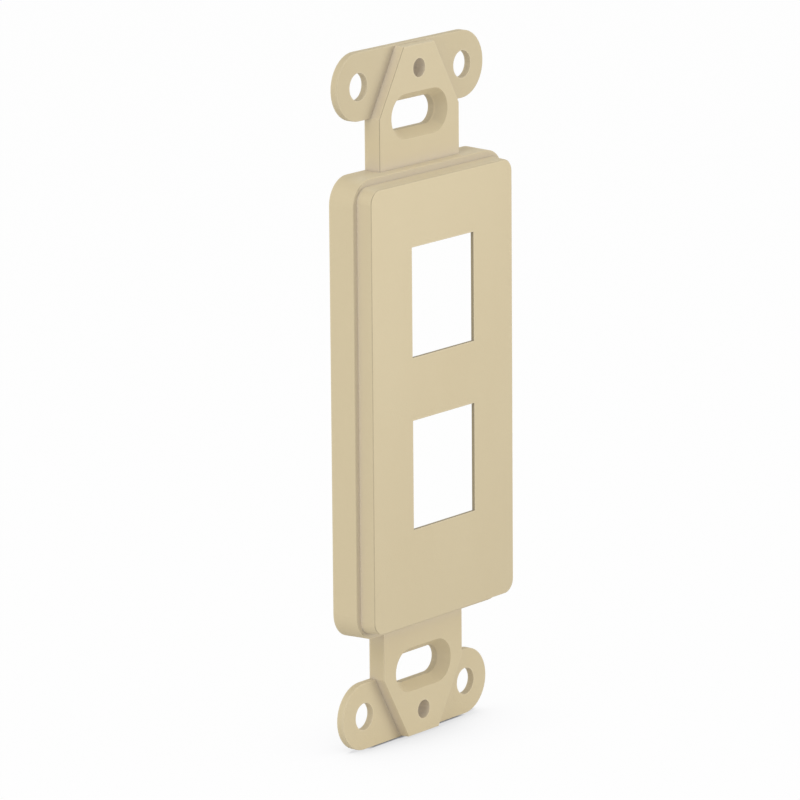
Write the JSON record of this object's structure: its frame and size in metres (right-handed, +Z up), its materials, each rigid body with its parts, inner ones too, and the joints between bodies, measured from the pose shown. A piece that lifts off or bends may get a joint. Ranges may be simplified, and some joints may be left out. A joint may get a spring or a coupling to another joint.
{
  "type": "keystone faceplate",
  "caption": "Upright decorator-style wall strap insert with stacked square windows for snap-in jacks, slotted necks and round-ended ears.",
  "frame": {"origin": "centre of the back mounting plane, midway between the box screw slots", "axes": "+X across the width, +Z up along the strap, front face towards -Y, wall side towards +Y"},
  "size_m": [0.0356, 0.0099, 0.1042],
  "materials": {
    "ivory_plastic": "fine satin moulded plastic, ivory"
  },
  "bodies": {
    "root": {"faceplate": "ivory_plastic"}
  },
  "joints": []
}
